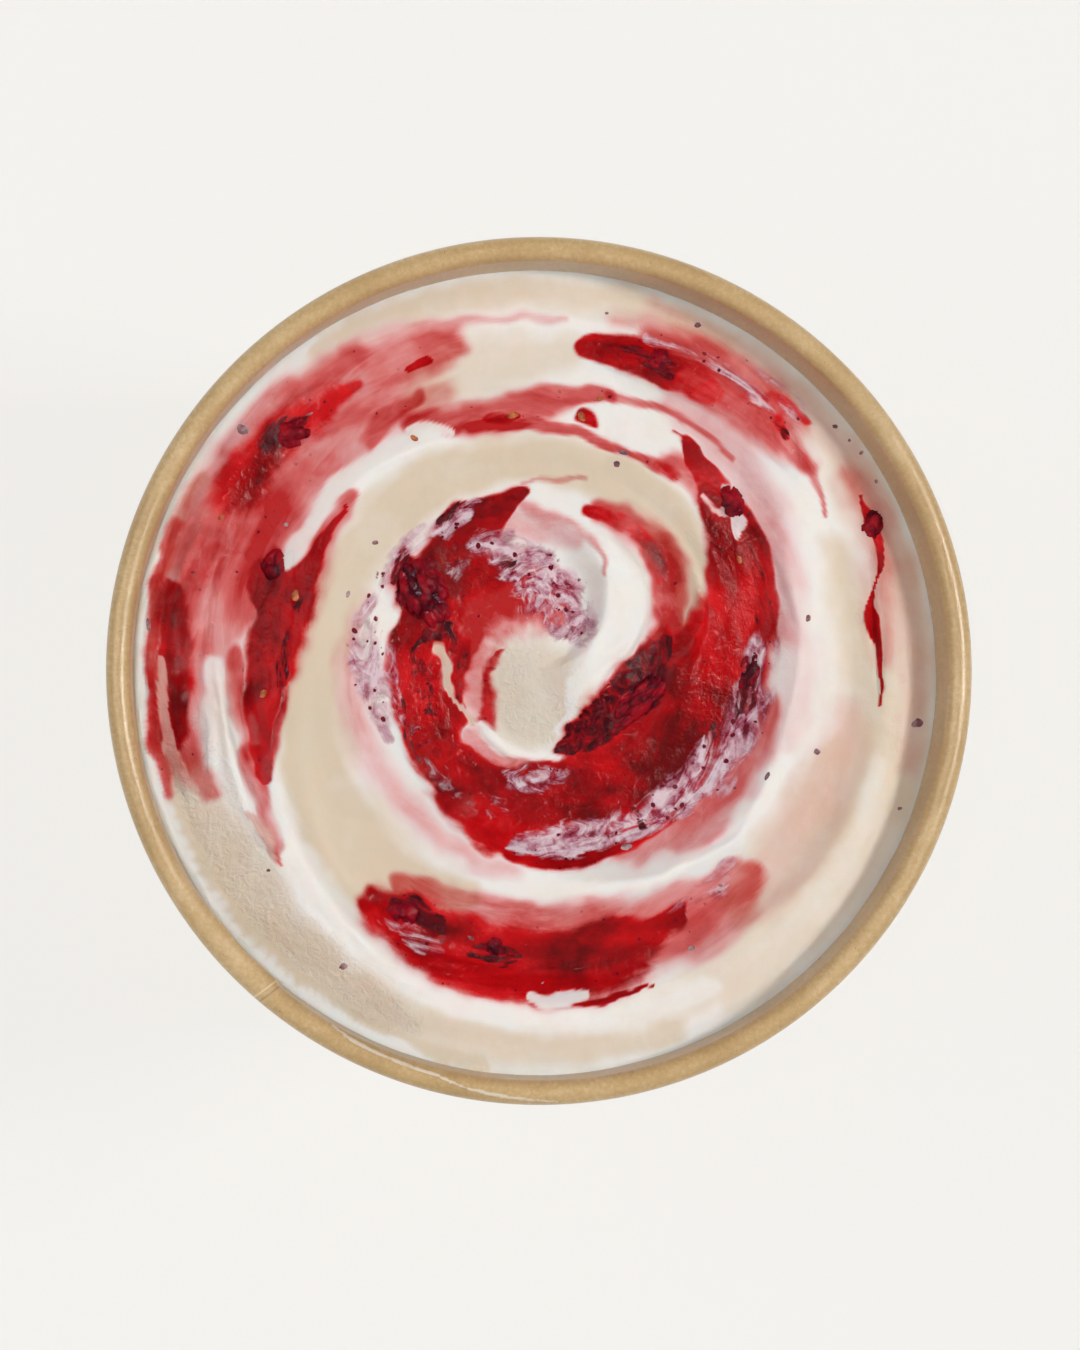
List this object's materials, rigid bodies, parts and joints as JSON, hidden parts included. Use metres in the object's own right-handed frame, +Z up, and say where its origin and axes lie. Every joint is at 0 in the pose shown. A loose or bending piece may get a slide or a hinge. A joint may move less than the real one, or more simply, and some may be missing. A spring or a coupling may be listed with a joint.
{
  "type": "ice cream pint",
  "caption": "Open kraft board pint tub with a rolled rim and raised base, filled with swirled cream and dark berry ripple.",
  "frame": {"origin": "centre of the tub's foot, at the height of the surface that it stands on", "axes": "+Z up along the tub's axis; +X to the right and +Y to the top of the picture, which looks straight down"},
  "size_m": [0.098, 0.098, 0.099],
  "materials": {
    "kraft_board": "unbleached kraft paperboard, matt with a faint fibre grain, thin clear lining",
    "cream": "soft frozen vanilla cream, satin where it has begun to melt",
    "berry_ripple": "wet red berry ripple, glossy",
    "berry_flesh": "dark torn berry, wet and seedy"
  },
  "bodies": {
    "root": {"tub_wall": "kraft_board", "tub_base": "kraft_board", "ice_cream": "cream", "ripple_spiral": "berry_ripple", "ripple_left_outer": "berry_ripple", "ripple_left_inner": "berry_ripple", "ripple_front": "berry_ripple", "ripple_top": "berry_ripple", "ripple_streak": "berry_ripple", "berry_heart": "berry_flesh", "berry_fold": "berry_flesh", "berry_channel": "berry_flesh", "berry_right": "berry_flesh", "berry_top": "berry_flesh", "berry_upper_left": "berry_flesh", "berry_left": "berry_flesh", "berry_front": "berry_flesh", "berry_front_small": "berry_flesh", "berry_edge": "berry_flesh"}
  },
  "joints": []
}
